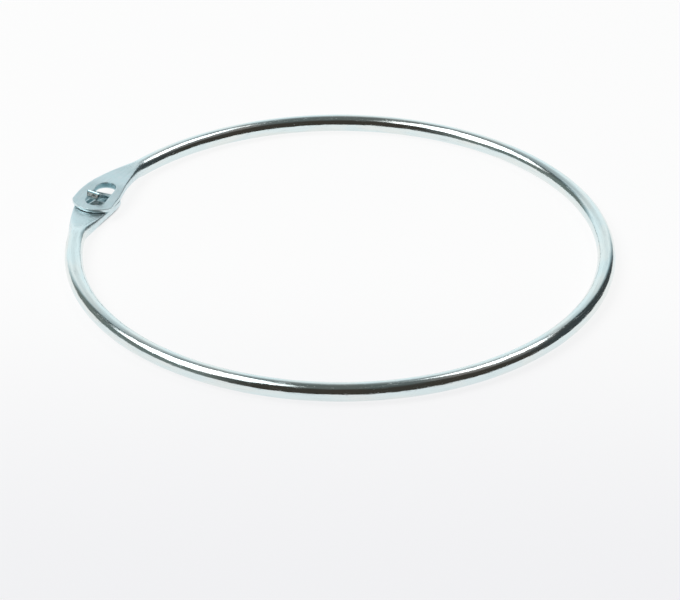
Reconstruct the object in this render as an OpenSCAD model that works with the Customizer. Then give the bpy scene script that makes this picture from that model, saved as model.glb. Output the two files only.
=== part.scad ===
// Large key ring bent from one length of round spring wire.
// Both ends of the wire are pressed flat and lap over each other. The upper end has a slot,
// and a tongue lanced out of the lower end rises through it and holds the ring shut.
// Origin: centre of the ring, on the surface that it lies on. +Z is up.

/* [Wire ring] */
// Diameter of the ring, measured on the middle of the wire
ring_d = 118; // [80:1:200]
// Diameter of the round wire
wire_d = 4; // [3.5:0.1:4.6]
// Where the lock sits round the ring, in degrees from +X
lock_angle = 161.3; // [0:0.1:360]

/* [Flattened ends] */
// Full width of the upper end
upper_w = 10.2; // [9:0.1:11]
// Full width of the lower end
lower_w = 9.6; // [9:0.1:11]
// Length over which the wire widens into a flat end
flare_l = 19; // [14:0.5:21]
// Length of the upper end, from the round wire to its tip
upper_l = 24.7; // [23.5:0.1:30]
// Length of the lower end, from the round wire to its tip
lower_l = 22; // [21.5:0.5:27]
// How far the two ends lap over each other
lap_l = 9.8; // [9.4:0.1:12]
// How far above the wire's middle the two flat ends meet
lap_rise = 0.15; // [0:0.05:0.3]
// Gap between the two flat ends where they lap
lap_gap = 0.2; // [0.1:0.05:0.5]
// Thickness that the upper end thins down to at its tip
tip_t = 0.8; // [0.7:0.05:1.2]
// Length over which the upper end thins down to its tip
thin_l = 7; // [5:0.5:9]
// How far the upper end drifts outward over its length
drift = 0.15; // [0:0.05:0.5]
// How far a flattened end's edges bulge, as a share of half its thickness
edge_bulge = 0.5; // [0.3:0.05:1]
// Radius of the upper end's rounded tip
tip_round = 6.6; // [6:0.1:12]
// How far inward of the wire's middle the foremost point of that tip lies
tip_inset = 0.5; // [0:0.1:1]
// Radius of the two corners where the tip meets the sides
upper_r = 1.2; // [0.5:0.1:2]
// Radius of the lower end's two corners
lower_r = 2.4; // [1:0.1:3.5]

/* [Tongue] */
// Width of the tongue at its free end
tongue_w = 3.9; // [3.6:0.1:4.1]
// How much wider the tongue is at its root
tongue_taper = 0.2; // [0:0.1:0.4]
// How much narrower the tongue's underside is on each side
tongue_slope = 0.5; // [0:0.05:0.7]
// Length of the tongue's straight part
tongue_l = 4.7; // [4.4:0.1:5]
// Angle at which the tongue rises from the lower end
tongue_angle = 35; // [34:1:40]
// Angle in plan by which the tongue is skewed outward
tongue_skew = 11; // [0:0.5:12]
// How far inward of the wire's middle the tongue's root lies
root_inset = 0.5; // [0.4:0.05:0.7]
// Inside radius of the bend at the tongue's root
bend_r = 0.8; // [0.5:0.1:1.5]
// Material left between the tongue's root and the lower tip
root_rim = 0.8; // [0.6:0.1:1.6]
// Radius of the tongue's two free corners
tongue_corner_r = 0.4; // [0.2:0.1:1.2]
// Width of the shear cut round the tongue
shear_gap = 0.1; // [0.05:0.01:0.2]

/* [Slot] */
// How far inward of the wire's middle the slot lies
slot_inset = 0.3; // [0.2:0.05:0.4]
// Clearance between the tongue and each side of the slot
slot_side_gap = 0.5; // [0.4:0.05:0.7]
// Play between the tongue's free end and the slot's end
slot_play = 2; // [1.6:0.1:2.4]
// How far the slot runs on past the tongue's root
slot_run_on = 2.9; // [2:0.1:4]

/* [Hidden] */
steel = [0.74, 0.82, 0.85];
round_fn = 96;
arc_steps = 12;       // faces on each rounded edge of a flattened end
ring_step = 1;        // length of wire between two sections of a flattened end
weld = 0.06;          // a flattened end starts this much inside the round wire's skin
tuck = 0.02;          // the tongue's root is this much thinner, on each side, than the end it rises from
seat = 0.3;           // and this far inside its length, so that the two are one solid
over = 1;             // how far a cutting tool passes the surface that it cuts

ring_r = ring_d / 2;
wire_r = wire_d / 2;
start_r = wire_r - weld;
lap_z = wire_r + lap_rise;
face_up = lap_z + lap_gap / 2;     // underside of the upper end
face_low = lap_z - lap_gap / 2;    // top of the lower end

// The wire keeps its area when it is flattened, so its thickness follows from its width.
area = PI * start_r * start_r;
// k is how far its edges bulge, as a share of half its thickness.
function half_thick(w, k) =
    (4 * w - sqrt(16 * w * w - 4 * k * (4 - PI) * area)) / (2 * k * (4 - PI));
upper_t = 2 * half_thick(upper_w / 2, edge_bulge);
lower_t = 2 * half_thick(lower_w / 2, edge_bulge);

function clamp01(u) = min(max(u, 0), 1);
function smooth(u) = let (c = clamp01(u)) c * c * (3 - 2 * c);
// A straight ramp from 0 to 1, rounded off over a share of its length at each end
function ramp(u, soft) =
    let (c = clamp01(u), k = 1 / (1 - soft))
    c < soft ? k * c * c / (2 * soft)
    : c > 1 - soft ? 1 - k * (1 - c) * (1 - c) / (2 * soft)
    : k * (c - soft / 2);

// Half the width and half the thickness of an end, x from where it leaves the round wire
function w_at(x, side) =
    start_r + ((side > 0 ? upper_w : lower_w) / 2 - start_r) * ramp(x / flare_l, 0.25);
function bulge_at(x) = 1 - (1 - edge_bulge) * smooth(3 * x / flare_l);
function thinning(x, l) = 1 - (1 - tip_t / upper_t) * smooth(1 - (l - x) / thin_l);
function t_at(x, l, side) =
    half_thick(w_at(x, side), bulge_at(x)) * (side > 0 ? thinning(x, l) : 1);

// Height of an end's middle: from the wire's axis to the face on which the ends lap.
// side is +1 for the upper end and -1 for the lower one.
function mid_z(x, l, side) =
    let (face = side > 0 ? face_up : face_low,
         k = ramp(x / (l - lap_l - lap_gap), 0.2))
    wire_r + k * (face + side * t_at(x, l, side) - wire_r);

// Angle round the ring, in degrees, of a length along the wire
function turn(a) = a / ring_r * 180 / PI;
upper_start = lap_l / 2 - upper_l;
lower_start = lower_l - lap_l / 2;

// Distance of an end's middle from the ring's centre
function mid_r(x, l, side) = ring_r + (side > 0 ? drift * smooth(x / l) : 0);

// One section of an end: two half ellipses joined by flats
function section(x, l, side, angle) =
    let (w = w_at(x, side), t = t_at(x, l, side), b = t * bulge_at(x),
         z = mid_z(x, l, side), r = mid_r(x, l, side))
    [for (half = [0, 1], i = [0 : arc_steps])
        let (q = half * 180 - 90 + i * 180 / arc_steps,
             n = r + (half == 0 ? w - b : b - w) + b * cos(q))
        [n * cos(angle), n * sin(angle), z + t * sin(q)]];

module loft(sections) {
    m = len(sections[0]);
    k = len(sections);
    polyhedron(
        points = [for (s = sections) each s],
        faces = concat(
            [[for (j = [0 : m - 1]) m - 1 - j]],
            [[for (j = [0 : m - 1]) (k - 1) * m + j]],
            [for (i = [0 : k - 2], j = [0 : m - 1])
                let (a = i * m + j, b = i * m + (j + 1) % m) each
                [[a, b + m, a + m], [a, b, b + m]]]));
}

// A flattened end before its tip is trimmed, with sections in order of rising angle
module flat_end(l, side) {
    count = ceil((l + seat + over) / ring_step);
    x_at = [for (i = [0 : count]) -seat + i * (l + seat + over) / count];
    loft(side > 0
        ? [for (x = x_at) section(x, l, side, turn(upper_start + x))]
        : [for (i = [count : -1 : 0]) section(x_at[i], l, side, turn(lower_start - x_at[i]))]);
}

// Puts a press tool on the ring: its x runs along the wire and its y points outward
module tool_at(a) {
    rotate([0, 0, turn(a)]) translate([ring_r, 0, 0]) rotate([0, 0, 90]) mirror([0, 1, 0])
        children();
}

// What a straight cut at x = 0 with two rounded corners leaves of an end of width w
module straight_tip(w, r) {
    offset(r = r, $fn = round_fn) offset(r = -r) translate([-w, -w / 2]) square([w, w]);
}

// What a round cut with its foremost point at x = 0 leaves of the upper end
module round_tip(x) {
    offset(r = upper_r, $fn = round_fn) offset(r = -upper_r) intersection() {
        translate([-tip_round, -tip_inset]) circle(tip_round, $fn = 2 * round_fn);
        translate([-x, -ring_r]) difference() {
            circle(ring_r + drift + upper_w / 2 + tuck, $fn = 8 * round_fn);
            circle(ring_r + drift - upper_w / 2 - tuck, $fn = 8 * round_fn);
        }
    }
}

// Cuts an end off beyond its tip; child 0 is what stays of the last length l of its plan
module tip_trim(l) {
    translate([0, 0, -over]) linear_extrude(wire_d + 2 * over) difference() {
        translate([-l, -upper_w]) square([2 * l, 2 * upper_w]);
        children();
    }
}

// Tongue: blank length in the flat, reach along the wire, and places along the wire
tongue_t = lower_t - 2 * tuck;
bend_l = (bend_r + tongue_t / 2) * tongue_angle * PI / 180;
blank_l = bend_l + tongue_l;
root_a = -lap_l / 2 + root_rim;
reach_low = (bend_r + tongue_t) * sin(tongue_angle) + tongue_l * cos(tongue_angle);

slot_w = tongue_w + 2 * slot_side_gap;
slot_from = root_a - slot_run_on;
slot_to = root_a + reach_low + slot_play;
slot_mid = (slot_from + slot_to) / 2;
slot_l = slot_to - slot_from;

module slot() {
    translate([0, -slot_inset, face_up - over]) {
        translate([-(slot_l - slot_w) / 2, -slot_w / 2, 0])
            cube([slot_l - slot_w, slot_w, upper_t + 2 * over]);
        for (end = [-1, 1])
            translate([end * (slot_l - slot_w) / 2, 0, 0])
                cylinder(h = upper_t + 2 * over, d = slot_w, $fn = round_fn);
    }
}

// The cut that frees the tongue from the lower end: the tongue's blank, widened by the shear cut
module shear_plan() {
    r = tongue_corner_r;
    tip = tongue_w / 2 + shear_gap;
    root = tip + tongue_taper / 2;
    corner = [for (q = [0 : 15 : 90])
        [blank_l + shear_gap - r + r * sin(q), tip - r + r * cos(q)]];
    polygon(concat(
        [[0, root]], corner, [for (i = [6 : -1 : 0]) [corner[i].x, -corner[i].y]], [[0, -root]]));
}

// One section of the bent tongue, its root's top at the origin. It has turned by the angle b and
// run on straight by d, and is less wide than the tongue by cut on each side.
function tongue_section(b, d, cut) =
    let (gone = (bend_l * b / tongue_angle + max(d, 0)) / blank_l,
         half = (tongue_w + tongue_taper * (1 - gone)) / 2 - cut,
         low = half - tongue_slope * smooth(b / tongue_angle))
    [for (p = [[bend_r + tongue_t, -low], [bend_r, -half], [bend_r, half], [bend_r + tongue_t, low]])
        [p[0] * sin(b) + d * cos(b), p[1], bend_r - p[0] * cos(b) + d * sin(b)]];

// Skews the tongue and its cut about the tongue's root; children are drawn with their root at 0
module at_root() {
    tool_at(root_a) translate([0, -root_inset, 0]) rotate([0, 0, tongue_skew]) children();
}

module tongue() {
    r = tongue_corner_r;
    translate([0, 0, face_low - tuck]) loft(concat(
        [tongue_section(0, -seat, 0)],
        [for (i = [0 : 8]) tongue_section(i * tongue_angle / 8, 0, 0)],
        [for (q = [0 : 15 : 90])
            tongue_section(tongue_angle, tongue_l - r + r * sin(q), r - r * cos(q))]));
}

module upper_end() {
    tip = ring_r * sin(turn(lap_l / 2 - slot_mid));
    difference() {
        flat_end(upper_l, 1);
        tool_at(slot_mid) slot();
        tool_at(slot_mid) translate([tip, 0, 0]) tip_trim(tip_round - upper_r) round_tip(tip);
    }
}

module lower_end() {
    difference() {
        flat_end(lower_l, -1);
        at_root() translate([0, 0, -over])
            linear_extrude(wire_d + 2 * over) shear_plan();
        tool_at(root_a) translate([-root_rim, 0, 0]) mirror([1, 0, 0])
            tip_trim(2 * lower_r) straight_tip(lower_w, lower_r);
    }
    at_root() tongue();
}

module wire_ring() {
    color(steel) rotate([0, 0, lock_angle]) {
        rotate([0, 0, turn(lower_start)]) translate([0, 0, wire_r])
            rotate_extrude(angle = 360 - turn(lower_start - upper_start), $fn = 2 * round_fn)
                translate([ring_r, 0]) circle(wire_r, $fn = round_fn);
        upper_end();
        lower_end();
    }
}

wire_ring();
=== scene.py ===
import bmesh
import bpy
import numpy as np
from mathutils import Euler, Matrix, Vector


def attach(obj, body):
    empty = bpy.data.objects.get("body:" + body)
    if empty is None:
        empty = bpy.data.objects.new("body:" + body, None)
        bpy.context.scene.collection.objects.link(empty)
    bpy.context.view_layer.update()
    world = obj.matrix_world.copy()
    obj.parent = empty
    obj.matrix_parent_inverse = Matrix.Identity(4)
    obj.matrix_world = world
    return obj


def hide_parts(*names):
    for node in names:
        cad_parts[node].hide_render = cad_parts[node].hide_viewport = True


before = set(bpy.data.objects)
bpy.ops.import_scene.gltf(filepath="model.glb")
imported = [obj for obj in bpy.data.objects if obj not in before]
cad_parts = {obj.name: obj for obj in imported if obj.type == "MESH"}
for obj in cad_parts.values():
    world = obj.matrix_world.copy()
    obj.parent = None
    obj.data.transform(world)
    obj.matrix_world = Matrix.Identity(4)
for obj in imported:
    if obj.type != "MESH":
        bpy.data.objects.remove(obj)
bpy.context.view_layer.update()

# --- Wire ring ---------------------------------------------------------------
# One length of 4 mm spring steel wire, bent to a ring and bright zinc plated.
# Both ends are pressed flat and lap over each other, about 161 degrees round from +X.
# All sizes are in millimetres. "a" is a length along the wire, 0 at the middle of the lap.
MM = 0.001
RING_R = 59.0
WIRE_R = 2.0
LOCK = np.radians(161.3)
LAP_L = 9.8
LAP_GAP = 0.2
LAP_Z = WIRE_R + 0.15   # height at which the ends meet
FLARE_L = 19.0          # length over which the wire widens
UPPER, LOWER = 1, -1
HALF_W = {UPPER: 5.1, LOWER: 4.8}
END_L = {UPPER: 24.7, LOWER: 22.0}
END_START = {UPPER: LAP_L / 2 - END_L[UPPER], LOWER: END_L[LOWER] - LAP_L / 2}
FACE_Z = {UPPER: LAP_Z + LAP_GAP / 2, LOWER: LAP_Z - LAP_GAP / 2}
DRIFT = 0.15            # the upper end drifts outward by this much
TIP_T, THIN_L = 0.8, 12.0
PRESS_L = 14.0          # the lower end is pressed down over this length
EDGE_BULGE = 0.5        # share of its thickness by which a pressed edge bulges
EDGE_TUCK, EDGE_POWER = 0.35, 0.5   # a square edge bulges less and has a blunter curve
TABLE_GAP = 0.02        # least height of the lower flare over the table
WIRE_AREA = np.pi * WIRE_R ** 2


def smooth(u):
    """3u^2 - 2u^3 between 0 and 1, level outside."""
    u = np.clip(u, 0, 1)
    return u * u * (3 - 2 * u)


def ramp(u, soft):
    """A straight line from 0 to 1, rounded off by a parabola over the share soft at each end."""
    u, k = np.clip(u, 0, 1), 1 / (1 - soft)
    middle = k * (u - soft / 2)
    return np.where(u < soft, k * u * u / (2 * soft),
                    np.where(u > 1 - soft, 1 - k * (1 - u) ** 2 / (2 * soft), middle))


def half_thickness(w, bulge):
    """Half the thickness t of a pressed section of half width w that keeps the wire's area.
    The area is 4wt - k(4 - pi)t^2, with k the edges' bulge as a share of t; this solves it for t."""
    k = bulge * (4 - np.pi)
    return (4 * w - np.sqrt(16 * w * w - 4 * k * WIRE_AREA)) / (2 * k)


FLAT_T = {side: 2 * half_thickness(HALF_W[side], EDGE_BULGE) for side in (UPPER, LOWER)}


def end_shape(a, side):
    """Half width, half thickness, edge bulge, height and radius of an end's middle, at a along the wire.
    Width is a ramp from the wire's; thickness follows from the area; the middle rises or sinks
    from the wire's axis until one face lies on the plane where the ends meet. Where the lower end
    would sink under the table, its top stays and its underside lies TABLE_GAP above the table."""
    length = END_L[side]
    x = side * (a - END_START[side])
    w = WIRE_R + (HALF_W[side] - WIRE_R) * ramp(x / FLARE_L, 0.25)
    bulge = 1 - (1 - EDGE_BULGE) * smooth(2 * x / FLARE_L)
    t = half_thickness(w, bulge)
    if side == LOWER:
        t = np.maximum(t, WIRE_R + (FLAT_T[LOWER] / 2 - WIRE_R) * ramp(x / PRESS_L, 0.4))
    if side == UPPER:
        t = t * (1 - (1 - TIP_T / FLAT_T[UPPER]) * smooth(1 - (length - x) / THIN_L))
    lift = ramp(x / (length - LAP_L - LAP_GAP), 0.2)
    z = WIRE_R + lift * (FACE_Z[side] + side * t - WIRE_R)
    if side == LOWER:
        t, z = np.minimum(t, (z + t - TABLE_GAP) / 2), np.maximum(z, (z + t + TABLE_GAP) / 2)
    r = RING_R + (DRIFT * smooth(x / length) if side == UPPER else 0 * x)
    return w, t, bulge * t, z, r


def squareness(a, side):
    """How far an edge has gone from a half ellipse, 0, to a square one, 1: flat sides keep to 0.7."""
    return 0.7 * smooth(1.6 * side * (a - END_START[side]) / FLARE_L - 0.6)


ACROSS = 36             # faces across a flat
ROUND = 12              # faces round an edge
QUARTER = (ACROSS + ROUND) // 2


def edge_share(w, t, b):
    """Share of a quarter section's outline that lies on its rounded edge."""
    arc = np.pi / 2 * np.sqrt((b * b + t * t) / 2)
    return arc / (arc + w - b)


def sections(a, side, even):
    """Sections of the wire at lengths a: half ellipses of b by t joined by flats, squarer where it
    is pressed. Points go from the outer edge over the top, the inner edge and the bottom."""
    w, t, b, z, r = (v[:, None] for v in end_shape(a, side))
    square = squareness(a, side)[:, None]
    u = np.arange(QUARTER + 1)[None] / QUARTER
    c = edge_share(w, t, b) ** even
    phi = np.pi / 2 * np.clip(u / c, 0, 1)
    b = b * (1 - EDGE_TUCK * square)
    n = (w - b) * (1 - np.clip((u - c) / np.maximum(1 - c, 1e-9), 0, 1))
    n = n + b * np.clip(np.cos(phi), 1e-9, 1) ** (1 - EDGE_POWER * square)
    h = t * np.sin(phi) ** (1 - EDGE_POWER * square)
    n = np.hstack([n[:, :-1], -n[:, :0:-1], -n[:, :-1], n[:, :0:-1]])
    h = np.hstack([h[:, :-1], h[:, :0:-1], -h[:, :-1], -h[:, :0:-1]])
    turn = a[:, None] / RING_R + LOCK
    return np.stack([(r + n) * np.cos(turn), (r + n) * np.sin(turn), z + h], -1)


# Each grid is its points, whether its columns close, the length along the wire at each point,
# and how far the press has sheared the steel, which on a cut wall also sets its painted shade
grids = []

# The round wire with both flares, from the lower head round to the upper one
HEAD_A = {UPPER: -9.0, LOWER: 3.3}
even = {}
for side in (UPPER, LOWER):
    w, t, b, _, _ = end_shape(np.array([HEAD_A[side]]), side)
    even[side] = float(np.log(ROUND / (ROUND + ACROSS)) / np.log(edge_share(w, t, b)[0]))
once_round = 2 * np.pi * RING_R
runs = [(np.linspace(HEAD_A[LOWER], END_START[LOWER], 40), LOWER),
        (np.linspace(END_START[LOWER], END_START[UPPER] + once_round, 420)[1:-1], LOWER),
        (np.linspace(END_START[UPPER], HEAD_A[UPPER], 34), UPPER)]
round_wire = np.concatenate([sections(a, side, even[side]) for a, side in runs])
run_a = np.concatenate([runs[0][0], runs[1][0], runs[2][0] + once_round])
grids.append((round_wire, True, np.repeat(run_a[:, None], round_wire.shape[1], 1), 0))


def along(xy):
    """Length along the wire at a point in plan."""
    turn = np.arctan2(xy[..., 1], xy[..., 0]) - LOCK
    return (np.mod(turn + np.pi, 2 * np.pi) - np.pi) * RING_R


def pressed_at(a, x, y):
    """A press tool's own plan coordinates set on the ring at a: x along the wire, y outward."""
    turn = a / RING_R + LOCK
    px, py = RING_R + y, x
    return np.stack([px * np.cos(turn) - py * np.sin(turn), px * np.sin(turn) + py * np.cos(turn)], -1)


def spaced(points, count):
    """Points spread evenly by length along a polyline."""
    d = np.r_[0, np.cumsum(np.linalg.norm(np.diff(points, axis=0), axis=1))]
    s = np.linspace(0, d[-1], count)
    return np.stack([np.interp(s, d, points[:, i]) for i in (0, 1)], -1)


# Tongue, slot and tips: the tongue is lanced out of the lower end and rises through the slot
TONGUE_W, TONGUE_TAPER, TONGUE_L, TONGUE_SLOPE = 3.9, 0.2, 4.7, 0.5
TONGUE_RISE, TONGUE_SKEW = np.radians(35), np.radians(11)
TONGUE_CORNER, BEND_R, ROOT_RIM, ROOT_INSET, SHEAR_GAP = 0.4, 0.8, 0.8, 0.5, 0.1
TONGUE_BELOW = 0.35     # extra thickness below; the mesh is open at the root, where it starts
SLOT_SIDE, SLOT_PLAY, SLOT_RUN_ON, SLOT_INSET = 0.5, 2.0, 2.9, 0.3
TIP_ROUND, TIP_INSET, UPPER_CORNER, LOWER_CORNER = 6.6, 0.5, 1.2, 2.4
tongue_t = FLAT_T[LOWER]
bend_l = (BEND_R + tongue_t / 2) * TONGUE_RISE
root_a = -LAP_L / 2 + ROOT_RIM
reach = (BEND_R + tongue_t) * np.sin(TONGUE_RISE) + TONGUE_L * np.cos(TONGUE_RISE)
slot_w = TONGUE_W + 2 * SLOT_SIDE
slot_l = SLOT_RUN_ON + reach + SLOT_PLAY
slot_a = root_a - SLOT_RUN_ON + slot_l / 2

SIDE_N, TIP_N, PLATE_N, WALL_N, TONGUE_N = 26, 40, 8, 5, 16


def tangent_centre(c0, r0, c1, r1):
    """Where two circles cross: c0 plus the share that the cosine rule gives along the line of
    centres, and the rest of r0 square to it, to the right."""
    line = c1 - c0
    d = np.hypot(*line)
    share = (d * d + r0 * r0 - r1 * r1) / (2 * d)
    line = line / d
    return c0 + share * line + np.sqrt(r0 * r0 - share * share) * np.array([line[1], -line[0]])


def arc(centre, r, start, end, count):
    """Points on a circle about centre between the directions of two points."""
    q0, q1 = (np.arctan2(*(p - centre)[::-1]) for p in (start, end))
    q1 = q0 + (q1 - q0 + np.pi) % (2 * np.pi) - np.pi
    q = np.linspace(q0, q1, count)
    return centre + r * np.stack([np.cos(q), np.sin(q)], -1)


def toward(centre, point, r):
    return centre + r * (point - centre) / np.hypot(*(point - centre))


def tip_outline(side):
    """Tip of a flat end in plan, from its outer side to its inner side, in its press tool's own
    coordinates. The upper tip is an arc and the lower one a straight cut; each of its corners is
    an arc that touches both the tip and the circle that the side follows."""
    if side == UPPER:
        tip = RING_R * np.sin((LAP_L / 2 - slot_a) / RING_R)
        ring, nose = np.array([0, -RING_R]), np.array([tip - TIP_ROUND, -TIP_INSET])
        c = UPPER_CORNER
        parts = []
        for out in (1, -1):
            far = RING_R + DRIFT + out * HALF_W[UPPER]
            q = tangent_centre(ring, far - out * c, nose, TIP_ROUND - c)
            on_side = toward(ring, q, far)
            on_tip = toward(nose, q, TIP_ROUND)
            parts.append(arc(q, c, on_side, on_tip, 24)[::out])
        return np.vstack([
            parts[0], arc(nose, TIP_ROUND, parts[0][-1], parts[1][0], 80)[1:-1], parts[1]])
    c = LOWER_CORNER
    parts = []
    for out in (1, -1):
        far = RING_R + out * HALF_W[LOWER] - out * c
        q = np.array([ROOT_RIM - c, np.sqrt(far * far - (ROOT_RIM - c) ** 2) - RING_R])
        on_side = toward(np.array([0, -RING_R]), q, far + out * c)
        parts.append(arc(q, c, on_side, q + (c, 0), 24)[::out])
    return np.vstack(parts) * (-1, 1)


def head_outline(side):
    """Outline of a flat end in plan, from its outer side round the tip to its inner side. The
    side curves are the radius of the end's middle plus or minus the half width."""
    tip = pressed_at(slot_a if side == UPPER else root_a, *tip_outline(side).T)

    def side_curve(out, a):
        w, _, _, _, r = end_shape(a, side)
        turn = a / RING_R + LOCK
        return np.stack([(r + out * w) * np.cos(turn), (r + out * w) * np.sin(turn)], -1)

    a_outer, a_inner = along(tip[[0, -1]])
    outer = side_curve(1, np.linspace(HEAD_A[side], a_outer, 60)[:-1])
    inner = side_curve(-1, np.linspace(a_inner, HEAD_A[side], 60)[1:])
    return np.vstack([
        spaced(np.vstack([outer, tip[:12]]), SIDE_N + 1),
        spaced(tip[11:-11], TIP_N + 1)[1:],
        spaced(np.vstack([tip[-12:], inner]), SIDE_N + 1)[1:]])


def add_grid(points, closes, side, sheared_and_shade=0):
    """Notes a grid on one end of the wire, with the length along the wire from the lower tip."""
    grids.append((points, closes, along(points[..., :2]) + (once_round if side == UPPER else 0), sheared_and_shade))


def flat_end(side, hole):
    """A flat end as a plate round an opening. Its rounded edge is the section's half ellipse
    carried round the outline, squarer towards the tip; its faces are straight lines from the
    opening's edge to the outline, at the height that end_shape gives. Returns the faces'
    heights at the opening."""
    out = head_outline(side)
    count = len(out)
    run = np.gradient(out, axis=0)
    normal = np.stack([run[:, 1], -run[:, 0]], -1) / np.linalg.norm(run, axis=1)[:, None]
    if ((out - out.mean(0)) * normal).sum() < 0:
        normal = -normal
    radial = out / np.linalg.norm(out, axis=1)[:, None]
    radial[count // 2:] *= -1
    from_end = np.minimum(np.arange(count), count - 1 - np.arange(count))
    keep = smooth(from_end / 6)[:, None]
    normal = normal * keep + radial * (1 - keep)
    normal /= np.linalg.norm(normal, axis=1)[:, None]
    side_square = squareness(along(out), side)
    square = smooth((from_end - 0.75 * SIDE_N) / (0.35 * SIDE_N))
    square = (side_square + (1 - side_square) * square)[:, None]
    phi = np.pi / 2 * np.linspace(-1, 1, ROUND + 1)[None]
    power = 1 - EDGE_POWER * square
    inset = 1 - np.abs(np.cos(phi)) ** power
    inset[:, [0, -1]] = 1
    height = np.sign(phi) * np.abs(np.sin(phi)) ** power
    _, _, b, _, _ = end_shape(along(out), side)
    xy = out[:, None] - (b[:, None] * (1 - EDGE_TUCK * square) * inset)[..., None] * normal[:, None]
    _, t, _, z, _ = end_shape(along(xy), side)
    edge = np.concatenate([xy, (z + t * height)[..., None]], -1)
    add_grid(edge, False, side)
    joint = sections(np.array([HEAD_A[side]]), side, even[side])[0]
    joint = {1: joint[ROUND // 2:][:ACROSS + 1], -1: joint[::-1][ROUND // 2 - 1:][:ACROSS + 1]}
    rho = np.linspace(0, 1, PLATE_N)[:, None, None]
    heights = []
    for face, column in ((1, -1), (-1, 0)):
        rim = np.vstack([edge[:, column], joint[face][::-1][1:-1]])[:, :2]
        xy = hole[None] * (1 - rho) + rim[None] * rho
        _, t, _, z, _ = end_shape(along(xy), side)
        add_grid(np.concatenate([xy, (z + face * t)[..., None]], -1), True, side)
        heights.append((z + face * t)[0])
    return heights


def sheared_wall(top, bottom, closed, side, rough):
    """Wall that a press tool has cut, straight from the points of one rim to those of the other.
    rough is 0 where the tool burnished it, 0.5 to 0.75 on an opening's wall and 1 where it tore. The wall's
    colour also takes painted shade from it, darker teal at 0.75."""
    v = np.linspace(0, 1, WALL_N)[:, None, None]
    wall = top * (1 - v) + bottom * v
    add_grid(wall, closed, side, rough * np.repeat(np.sin(np.pi * v[..., 0]) > 0.01, wall.shape[1], 1))


# Upper end with its slot: two straight sides and two half circles
half_run, end_r = (slot_l - slot_w) / 2, slot_w / 2
run = np.linspace(-half_run, half_run, SIDE_N + 1)
near = np.linspace(np.pi / 2, -np.pi / 2, TIP_N + 1)[1:]
far = np.linspace(-np.pi / 2, -3 * np.pi / 2, ACROSS + 1)[1:-1]
slot = pressed_at(
    slot_a,
    np.r_[run, half_run + end_r * np.cos(near), run[::-1][1:], -half_run + end_r * np.cos(far)],
    np.r_[0 * run + end_r, end_r * np.sin(near), 0 * run[1:] - end_r, end_r * np.sin(far)] - SLOT_INSET)
slot_top, slot_bottom = flat_end(UPPER, slot)
sheared_wall(np.c_[slot, slot_top], np.c_[slot, slot_bottom], True, UPPER, 0.5)


def from_root(x, y):
    """Plan coordinates from the tongue's root: x along the tongue, y outward, skewed."""
    c, s = np.cos(TONGUE_SKEW), np.sin(TONGUE_SKEW)
    return pressed_at(root_a, x * c - y * s, x * s + y * c - ROOT_INSET)


# Lower end with the window that the tongue was lanced from
window_l = bend_l + TONGUE_L + SHEAR_GAP
free_half = TONGUE_W / 2 + SHEAR_GAP
root_half = (TONGUE_W + TONGUE_TAPER) / 2
q = np.linspace(0, np.pi / 2, 12)
corner = np.stack([
    window_l - TONGUE_CORNER + TONGUE_CORNER * np.sin(q),
    free_half - TONGUE_CORNER + TONGUE_CORNER * np.cos(q)], -1)
free_end = spaced(np.vstack([corner * (1, -1), corner[::-1]]), ACROSS + 1)[1:-1]
run = np.linspace(window_l - TONGUE_CORNER, 0, SIDE_N + 1)
flank = free_half + (root_half - free_half) * (1 - run / run[0])
root_y = np.linspace(root_half, -root_half, TIP_N + 1)
window = from_root(
    np.r_[run, 0 * root_y[1:], run[::-1][1:], free_end[:, 0]],
    np.r_[flank, root_y[1:], -flank[::-1][1:], free_end[:, 1]])
window_top, window_bottom = flat_end(LOWER, window)
cut = np.r_[np.arange(SIDE_N + TIP_N, len(window)), np.arange(SIDE_N + 1)]
# The window's wall gets 0.75, which paints it darker teal as shade under the upper end.
sheared_wall(np.c_[window, window_top][cut], np.c_[window, window_bottom][cut], False, LOWER, 0.75)


def tongue_face(radius, slope):
    """Top or underside of the tongue: an arc of that radius about the bend's centre and then a
    straight run at the rise angle, shortened at its two corners by an arc. The underside is
    narrower by slope on each side once the bend is done."""
    turn = np.linspace(0, TONGUE_RISE, 9)
    run = np.linspace(0, 1, TONGUE_N)[1:]
    done = np.r_[turn / TONGUE_RISE * bend_l, bend_l + run * TONGUE_L] / (bend_l + TONGUE_L)
    bent = np.r_[turn, np.full(len(run), TONGUE_RISE)][:, None]
    half = (root_half - TONGUE_TAPER / 2 * done)[:, None] - slope * smooth(bent / TONGUE_RISE)
    y = half * np.linspace(1, -1, TIP_N + 1)[None]
    over = np.clip(np.abs(y) - half + TONGUE_CORNER, 0, TONGUE_CORNER)
    length = TONGUE_L - TONGUE_CORNER + np.sqrt(TONGUE_CORNER ** 2 - over ** 2)
    d = np.r_[0 * turn, run][:, None] * length
    x = radius * np.sin(bent) + d * np.cos(TONGUE_RISE)
    z = FACE_Z[LOWER] + BEND_R - radius * np.cos(bent) + d * np.sin(TONGUE_RISE)
    return np.concatenate([from_root(x, y), z[..., None]], -1)


tongue_top = tongue_face(BEND_R, 0)
tongue_under = tongue_face(BEND_R + tongue_t + TONGUE_BELOW, TONGUE_SLOPE)
add_grid(tongue_top, False, LOWER)
add_grid(tongue_under, False, LOWER)
# The tongue's sides are painted dark teal as shade near their root in the window, fading to the plain film
# towards the free end.
painted_shade_to_root = 0.75 * smooth(1.6 - 2.6 * np.linspace(0, 1, len(tongue_top)))
for part, rough in ((np.s_[:, 0], painted_shade_to_root), (np.s_[:, -1], painted_shade_to_root), (np.s_[-1], 1)):
    sheared_wall(tongue_top[part], tongue_under[part], False, LOWER, rough)

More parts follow.
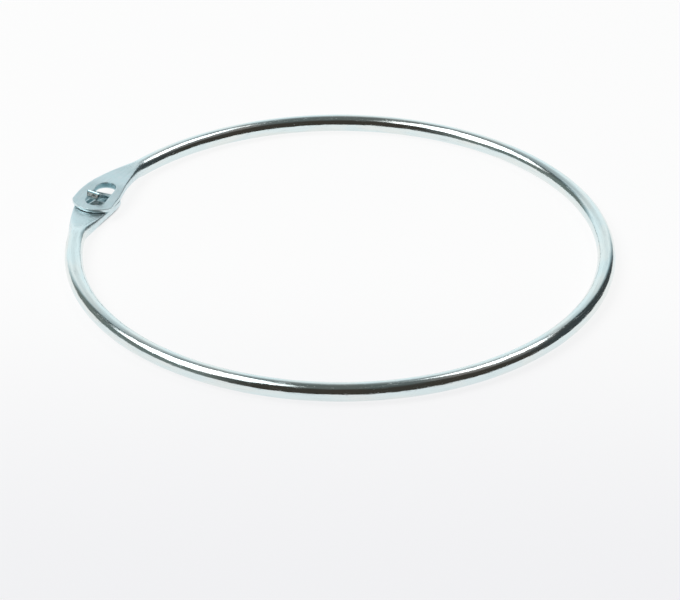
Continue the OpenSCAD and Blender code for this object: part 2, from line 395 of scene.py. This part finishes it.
faces, start = [], 0
for grid, closes, _, _ in grids:
    rows, cols = grid.shape[:2]
    i, j = np.meshgrid(np.arange(rows - 1), np.arange(cols if closes else cols - 1), indexing="ij")
    k = (j + 1) % cols
    quad = np.stack([i * cols + j, (i + 1) * cols + j, (i + 1) * cols + k, i * cols + k], -1)
    faces.append(quad.reshape(-1, 4) + start)
    start += rows * cols
points = np.vstack([g[0].reshape(-1, 3) for g in grids])
length = np.concatenate([g[2].ravel() for g in grids])
sheared_and_shade = np.concatenate([np.broadcast_to(g[3], g[0].shape[:2]).ravel() for g in grids])
_, first, welded = np.unique(np.round(points, 5), axis=0, return_index=True, return_inverse=True)
faces = welded.ravel()[np.vstack(faces)]
points, length, sheared_and_shade = points[first], length[first], sheared_and_shade[first]

mesh = bpy.data.meshes.new("zinc_wire_ring")
mesh.from_pydata((points * MM).tolist(), [], faces.tolist())
bm = bmesh.new()
bm.from_mesh(mesh)
bmesh.ops.recalc_face_normals(bm, faces=bm.faces)
bm.to_mesh(mesh)
bm.free()
mesh.polygons.foreach_set("use_smooth", np.ones(len(mesh.polygons), bool))

# The finish follows the wire, so each point keeps its place on it in millimetres (along, outward,
# up), how far it is pressed flat, and how far it is sheared, which also sets the painted shade of cut walls
place = np.stack([length, np.hypot(points[:, 0], points[:, 1]) - RING_R, points[:, 2]], -1)
to_flat = np.minimum(length - END_START[LOWER], END_START[UPPER] + once_round - length)
for name, kind, values in (
        ("on_wire", "FLOAT_VECTOR", place),
        ("pressed", "FLOAT", smooth((3 - to_flat) / 11)),
        ("sheared_and_shade", "FLOAT", sheared_and_shade)):
    mesh.attributes.new(name, kind, "POINT").data.foreach_set(
        "vector" if kind == "FLOAT_VECTOR" else "value", np.ascontiguousarray(values, np.float32).ravel())

ring = bpy.data.objects.new("zinc_wire_ring", mesh)
bpy.context.collection.objects.link(ring)
soften = ring.modifiers.new("Worn shear edges", "BEVEL")
soften.width = 0.09 * MM
soften.segments = 3
soften.limit_method = "ANGLE"
soften.angle_limit = np.radians(50)
soften.use_clamp_overlap = True

# Bright zinc with a thin blue passivation film: the round wire keeps a drawn mirror finish with
# fine marks along it, the pressed ends are duller, and the sheared walls are rough and dark teal,
# partly the cut steel's own tone and partly painted shade of the recesses
zinc = bpy.data.materials.new("zinc_plate")
zinc.use_nodes = True
nodes, links = zinc.node_tree.nodes, zinc.node_tree.links
bsdf = nodes["Principled BSDF"]
bsdf.inputs["Metallic"].default_value = 1


def read(name, output):
    node = nodes.new("ShaderNodeAttribute")
    node.attribute_name = name
    return node.outputs[output]


def calc(operation, a, b=0.0, clamp=False):
    node = nodes.new("ShaderNodeMath")
    node.operation, node.use_clamp = operation, clamp
    for socket, value in zip(node.inputs, (a, b)):
        if isinstance(value, (int, float)):
            socket.default_value = value
        else:
            links.new(value, socket)
    return node.outputs[0]


def stretched(vector, scale):
    node = nodes.new("ShaderNodeVectorMath")
    node.operation = "MULTIPLY"
    links.new(vector, node.inputs[0])
    node.inputs[1].default_value = scale
    return node.outputs[0]


def noise(vector, detail=2.0, rough=0.5):
    node = nodes.new("ShaderNodeTexNoise")
    node.inputs["Scale"].default_value = 1.0
    node.inputs["Detail"].default_value = detail
    node.inputs["Roughness"].default_value = rough
    links.new(vector, node.inputs["Vector"])
    return node.outputs[0]


def between(value, low, high):
    """0 below low, 1 above high, a smooth step between."""
    node = nodes.new("ShaderNodeMapRange")
    node.interpolation_type = "SMOOTHSTEP"
    links.new(value, node.inputs["Value"])
    node.inputs["From Min"].default_value = low
    node.inputs["From Max"].default_value = high
    return node.outputs["Result"]


def blend(fac, a, b):
    node = nodes.new("ShaderNodeMix")
    node.data_type = "RGBA"
    links.new(fac, node.inputs[0])
    for socket, value in ((node.inputs[6], a), (node.inputs[7], b)):
        if isinstance(value, tuple):
            socket.default_value = value + (1,)
        else:
            links.new(value, socket)
    return node.outputs[2]


on_wire = read("on_wire", "Vector")
pressed, cut_and_shade = read("pressed", "Fac"), read("sheared_and_shade", "Fac")
marks = noise(stretched(on_wire, (0.22, 5.0, 5.0)), 3, 0.6)          # draw marks, about 5 mm long
pits = between(noise(stretched(on_wire, (1.1, 4.2, 4.2)), 2, 0.5), 0.62, 0.78)
pits = calc("MULTIPLY", pits, calc("SUBTRACT", 1.0, calc("MULTIPLY", pressed, 0.75)))
clouds = noise(stretched(on_wire, (0.10, 0.35, 0.35)), 2, 0.5)       # the film's slow changes
mottle = noise(stretched(on_wire, (0.9, 0.9, 0.9)), 3, 0.6)
waves = noise(stretched(on_wire, (0.30, 1.5, 1.5)), 2, 0.5)          # dents of the coiling rolls

film = blend(between(clouds, 0.38, 0.62), (0.73, 0.83, 0.84), (0.79, 0.835, 0.82))
flat_film = blend(between(mottle, 0.30, 0.70), (0.655, 0.80, 0.83), (0.715, 0.82, 0.85))
color = blend(pressed, film, flat_film)
color = blend(calc("MULTIPLY", pits, 0.25), color, (0.62, 0.68, 0.69))
color = blend(calc("MULTIPLY", between(marks, 0.50, 0.80), 0.5), color, (0.50, 0.60, 0.62))
tears = between(noise(stretched(on_wire, (2.2, 2.2, 2.2)), 2, 0.6), 0.36, 0.62)
torn = blend(tears, (0.10, 0.12, 0.12), (0.46, 0.50, 0.49))
# Cut walls are dark teal: partly the cut steel's own dull tone, partly painted shade, deepest at 0.75 on
# the window's wall under the upper end and on the tongue's sides near their root.
wall = blend(between(cut_and_shade, 0.5, 0.75), (0.27, 0.45, 0.50), (0.10, 0.20, 0.23))
wall = blend(between(cut_and_shade, 0.8, 1.0), wall, torn)
color = blend(calc("MULTIPLY", cut_and_shade, 1.9, True), color, wall)
links.new(color, bsdf.inputs["Base Color"])

gloss = calc("ADD", 0.09, calc("MULTIPLY", between(marks, 0.52, 0.70), 0.20))
gloss = calc("ADD", gloss, calc("MULTIPLY", pits, 0.18))
gloss = calc("ADD", gloss, calc("MULTIPLY", pressed, calc("ADD", 0.18, calc("MULTIPLY", mottle, 0.12))))
gloss = calc("ADD", gloss, calc("MULTIPLY", cut_and_shade, 0.22), True)
links.new(gloss, bsdf.inputs["Roughness"])

height = calc("MULTIPLY", marks, calc("SUBTRACT", 2.2, calc("MULTIPLY", pressed, 1.7)))
height = calc("SUBTRACT", height, calc("MULTIPLY", pits, 1.2))
height = calc("ADD", height, calc("MULTIPLY", waves, 2.5))
height = calc("ADD", height, calc("MULTIPLY", calc("MULTIPLY", mottle, pressed), 1.5))
height = calc("ADD", height, calc("MULTIPLY", calc("MULTIPLY", mottle, cut_and_shade), 12.0))
grain = nodes.new("ShaderNodeBump")
grain.inputs["Strength"].default_value = 1.0
grain.inputs["Distance"].default_value = 0.006 * MM
links.new(height, grain.inputs["Height"])
links.new(grain.outputs[0], bsdf.inputs["Normal"])
mesh.materials.append(zinc)
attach(ring, "root")
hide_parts("wire_ring")

# --- Table, light and camera --------------------------------------------------
# A white table with a white backdrop behind it, two soft boxes and a dim room. The table glows to the
# camera and in reflections, with painted light fall-off towards the front, and under the lock its colour is
# painted dark teal as shade.
bpy.ops.mesh.primitive_plane_add(size=4)
table = bpy.context.object
table.name = "table"
paint = bpy.data.materials.new("table_white")
paint.use_nodes = True
nodes, links = paint.node_tree.nodes, paint.node_tree.links
nodes["Principled BSDF"].inputs["Roughness"].default_value = 0.9
nodes["Principled BSDF"].inputs["Specular IOR Level"].default_value = 0.2
seen = nodes.new("ShaderNodeLightPath")
glow = nodes.new("ShaderNodeEmission")
table_at = nodes.new("ShaderNodeSeparateXYZ")
links.new(nodes.new("ShaderNodeTexCoord").outputs["Object"], table_at.inputs[0])
# Painted light fall-off: the table's glow dims from white to pale grey towards the front.
away = between(table_at.outputs["Y"], -0.13, 0.0)
links.new(blend(away, (0.91, 0.91, 0.93), (1.02, 1.02, 1.02)), glow.inputs["Color"])
mix = nodes.new("ShaderNodeMixShader")
open_sky = nodes.new("ShaderNodeAmbientOcclusion")
open_sky.inputs["Distance"].default_value = 8 * MM
open_sky.samples = 8
apart = nodes.new("ShaderNodeVectorMath")
apart.operation = "DISTANCE"
links.new(nodes.new("ShaderNodeTexCoord").outputs["Object"], apart.inputs[0])
apart.inputs[1].default_value = Vector((np.cos(LOCK), np.sin(LOCK), 0)) * RING_R * MM
clear = between(apart.outputs["Value"], 6 * MM, 9 * MM)
shown = calc("MULTIPLY", seen.outputs["Is Camera Ray"],
             calc("MAXIMUM", clear, between(open_sky.outputs["AO"], 0.18, 0.32)))
mirrored = calc("MULTIPLY", seen.outputs["Is Glossy Ray"], 0.90)
links.new(calc("MAXIMUM", calc("MULTIPLY", shown, 0.85), mirrored), mix.inputs[0])
links.new(nodes["Principled BSDF"].outputs[0], mix.inputs[1])
links.new(glow.outputs[0], mix.inputs[2])
# Painted shade: under the lapped ends, where little sky is open, the table's own colour turns dark teal, so
# the table seen through the slot and window reads as deep shade.
outside_painted_shade = calc("MAXIMUM", clear, between(open_sky.outputs["AO"], 0.08, 0.30))
links.new(blend(outside_painted_shade, (0.04, 0.12, 0.13), (0.93, 0.93, 0.93)), nodes["Principled BSDF"].inputs["Base Color"])
links.new(mix.outputs[0], nodes["Material Output"].inputs["Surface"])
table.data.materials.append(paint)


def soft_box(name, azimuth, elevation, away, size, strength, color):
    """An area lamp away metres from the ring and turned to it, which fades towards its edges.
    strength is its brightness in the middle, where 1 is a white surface: a lamp's watts are pi
    times brightness times area."""
    a, e = np.radians(azimuth), np.radians(elevation)
    place = Vector((np.cos(e) * np.cos(a), np.cos(e) * np.sin(a), np.sin(e))) * away
    lamp = bpy.data.lights.new(name, "AREA")
    lamp.shape = "RECTANGLE"
    lamp.size, lamp.size_y = size
    lamp.energy = np.pi * strength * size[0] * size[1]
    lamp.color = color
    lamp.use_nodes = True
    tree = lamp.node_tree
    face = tree.nodes.new("ShaderNodeNewGeometry").outputs["Parametric"]
    fade = None
    split = tree.nodes.new("ShaderNodeSeparateXYZ")
    tree.links.new(face, split.inputs[0])
    for axis in (0, 1):
        curve = tree.nodes.new("ShaderNodeMath")
        curve.operation = "PINGPONG"
        curve.inputs[1].default_value = 0.5
        tree.links.new(split.outputs[axis], curve.inputs[0])
        edge = tree.nodes.new("ShaderNodeMapRange")
        edge.interpolation_type = "SMOOTHSTEP"
        edge.inputs["From Max"].default_value = 0.25
        tree.links.new(curve.outputs[0], edge.inputs["Value"])
        if fade is None:
            fade = edge.outputs["Result"]
        else:
            both = tree.nodes.new("ShaderNodeMath")
            both.operation = "MULTIPLY"
            tree.links.new(fade, both.inputs[0])
            tree.links.new(edge.outputs["Result"], both.inputs[1])
            fade = both.outputs[0]
    tree.links.new(fade, tree.nodes["Emission"].inputs["Strength"])
    box = bpy.data.objects.new(name, lamp)
    box.location = place
    box.rotation_euler = place.to_track_quat("Z", "Y").to_euler()
    bpy.context.collection.objects.link(box)


soft_box("soft_box_left", 182, 56, 2.4, (2.08, 2.26), 4.5, (1, 1, 1))
soft_box("soft_box_right", 43, 58, 2.4, (1.16, 0.96), 3.6, (1, 0.98, 0.99))

world = bpy.data.worlds.new("studio")
bpy.context.scene.world = world
world.use_nodes = True
nodes, links = world.node_tree.nodes, world.node_tree.links
coords = nodes.new("ShaderNodeTexCoord")
split = nodes.new("ShaderNodeSeparateXYZ")
links.new(coords.outputs["Generated"], split.inputs[0])

x, y, z = (split.outputs[axis] for axis in "XYZ")

# The room is dark and warm towards the camera and grey overhead; a white backdrop stands behind
high = between(z, 0.60, 1.0)
level = calc("MAXIMUM", calc("SQRT", calc("SUBTRACT", 1.0, calc("POWER", z, 2.0))), 0.01)
to_back = calc("DIVIDE", calc("SUBTRACT", calc("MULTIPLY", y, 0.992), calc("MULTIPLY", x, 0.122)), level)
to_front = calc("DIVIDE", calc("ADD", calc("MULTIPLY", y, -0.94), calc("MULTIPLY", x, 0.34)), level)
brown = calc("MULTIPLY", between(to_front, 0.25, 0.60), between(z, 0.97, 0.80))
left = calc("MULTIPLY", between(calc("DIVIDE", x, level), -0.35, -0.85), between(z, 0.75, 0.35))
low = blend(left, (0.050, 0.060, 0.063), (0.17, 0.20, 0.19))
room = blend(high, low, (0.125, 0.14, 0.135))
room = blend(brown, room, (0.052, 0.045, 0.037))
dot = nodes.new("ShaderNodeVectorMath")
dot.operation = "DOT_PRODUCT"
links.new(coords.outputs["Generated"], dot.inputs[0])
dot.inputs[1].default_value = (0.5425, 0.0475, 0.8387)
room = blend(between(dot.outputs["Value"], 0.93, 0.99), room, (0.24, 0.22, 0.21))
sideways = between(to_back, 0.68, 0.88)
behind = calc("MULTIPLY", sideways, between(z, 0.99, 0.38))
studio = blend(behind, room, blend(sideways, (0.64, 0.90, 1.0), (0.92, 1.0, 1.02)))
white = blend(nodes.new("ShaderNodeLightPath").outputs["Is Camera Ray"], studio, (1.0, 1.0, 1.0))
links.new(white, nodes["Background"].inputs["Color"])
nodes["Background"].inputs["Strength"].default_value = 1.0

camera = bpy.data.objects.new("camera", bpy.data.cameras.new("camera"))
bpy.context.collection.objects.link(camera)
camera.data.lens = 129.7
camera.data.clip_start = 0.01
camera.location = (0, -0.4711, 0.2761)
turned = Euler((np.radians(90 - 31.48), 0, 0)).to_matrix() @ Euler((0, 0, 0.00245)).to_matrix()
camera.rotation_euler = turned.to_euler()
bpy.context.scene.camera = camera
bpy.context.scene.view_settings.view_transform = "Standard"
